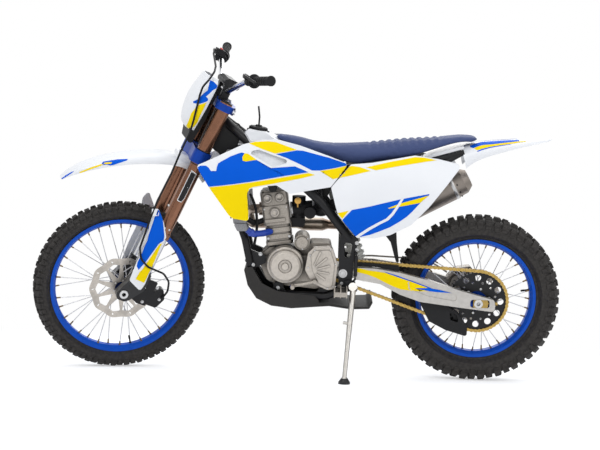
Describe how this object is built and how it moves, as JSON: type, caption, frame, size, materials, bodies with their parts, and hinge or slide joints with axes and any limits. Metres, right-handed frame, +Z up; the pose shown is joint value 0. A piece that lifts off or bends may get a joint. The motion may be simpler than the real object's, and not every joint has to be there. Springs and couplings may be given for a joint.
{
  "type": "dirt bike",
  "caption": "Off-road motorcycle parked on its side stand, with turning wheels, a steered front end and a folding stand.",
  "frame": {"origin": "on the ground at the middle of the parked motorcycle's bounding box", "axes": "+X from the front wheel to the rear wheel, +Y to the rider's right, +Z up; the bike leans to -Y on its stand"},
  "size_m": [2.1118, 0.7796, 1.3619],
  "materials": {
    "tyre_black": "matte",
    "rim_blue": "satin",
    "spoke_steel": "polished",
    "hub_dark": "satin",
    "disc_steel": "brushed",
    "sprocket_black": "satin",
    "chain_gold": "satin",
    "frame_black": "satin",
    "engine_metal": "cast",
    "intake_black": "matte",
    "exhaust_metal": "satin",
    "radiator_metal": "satin",
    "hose_rubber": "matte",
    "plastic_white": "gloss",
    "tank_white": "satin",
    "cap_black": "matte",
    "seat_navy": "matte",
    "plastic_black": "matte",
    "arm_silver": "brushed",
    "adjuster_bronze": "anodised",
    "shock_metal": "satin",
    "caliper_metal": "satin",
    "axle_steel": "satin",
    "stand_silver": "satin",
    "fork_bronze": "anodised",
    "fork_chrome": "polished",
    "clamp_blue": "anodised",
    "bar_chrome": "polished",
    "mount_black": "satin",
    "grip_rubber": "matte"
  },
  "bodies": {
    "chassis": {"frame": "frame_black", "subframe": "frame_black", "crankcase": "engine_metal", "engine_covers": "engine_metal", "cylinder": "engine_metal", "intake": "intake_black", "exhaust_pipe": "exhaust_metal", "silencer": "exhaust_metal", "radiators": "radiator_metal", "coolant_hoses": "hose_rubber", "radiator_shrouds": "plastic_white", "fuel_tank": "tank_white", "filler_cap": "cap_black", "seat": "seat_navy", "side_panels": "plastic_white", "rear_fender": "plastic_white", "inner_fender": "plastic_black", "swingarm": "arm_silver", "chain_adjusters": "adjuster_bronze", "shock_absorber": "shock_metal", "chain": "chain_gold", "front_sprocket": "sprocket_black", "chain_guides": "plastic_black", "rear_caliper": "caliper_metal", "rear_axle": "axle_steel", "footpegs": "axle_steel", "foot_controls": "engine_metal", "skid_plate": "plastic_black", "stand_bracket": "frame_black"},
    "steering": {"fork_outer_tubes": "fork_bronze", "fork_inner_tubes": "fork_chrome", "lower_clamp": "clamp_blue", "upper_clamp": "clamp_blue", "handlebar": "bar_chrome", "bar_mounts": "mount_black", "grips": "grip_rubber", "hand_controls": "mount_black", "number_plate": "plastic_white", "headlight_box": "plastic_black", "front_fender": "plastic_white", "fork_guards": "plastic_white", "front_caliper": "caliper_metal", "front_brake_hose": "hose_rubber", "front_axle": "axle_steel"},
    "front_wheel": {"front_tyre": "tyre_black", "front_rim": "rim_blue", "front_hub": "hub_dark", "front_spokes": "spoke_steel", "front_disc": "disc_steel"},
    "rear_wheel": {"rear_tyre": "tyre_black", "rear_rim": "rim_blue", "rear_hub": "hub_dark", "rear_spokes": "spoke_steel", "rear_disc": "disc_steel", "rear_sprocket": "sprocket_black"},
    "side_stand": {"side_stand": "stand_silver"}
  },
  "joints": [
    {"name": "steering", "type": "hinge", "parent": "chassis", "child": "steering", "pos_m": [-0.38761, 0.04439, 0.91324], "axis": [0.413, -0.1266, 0.9019], "range_deg": [-59, 25]},
    {"name": "front_wheel_spin", "type": "hinge", "parent": "steering", "child": "front_wheel", "pos_m": [-0.71895, 0.10561, 0.33836], "axis": [-0.2665, 0.9301, 0.2527], "continuous": true},
    {"name": "rear_wheel_spin", "type": "hinge", "parent": "chassis", "child": "rear_wheel", "pos_m": [0.71843, 0.12566, 0.33697], "axis": [-0.0003, 0.9903, 0.1392], "continuous": true},
    {"name": "side_stand_fold", "type": "hinge", "parent": "chassis", "child": "side_stand", "pos_m": [0.22037, -0.03237, 0.36837], "axis": [-0.1633, -0.9494, 0.2682], "range_deg": [0, 92.3]}
  ]
}
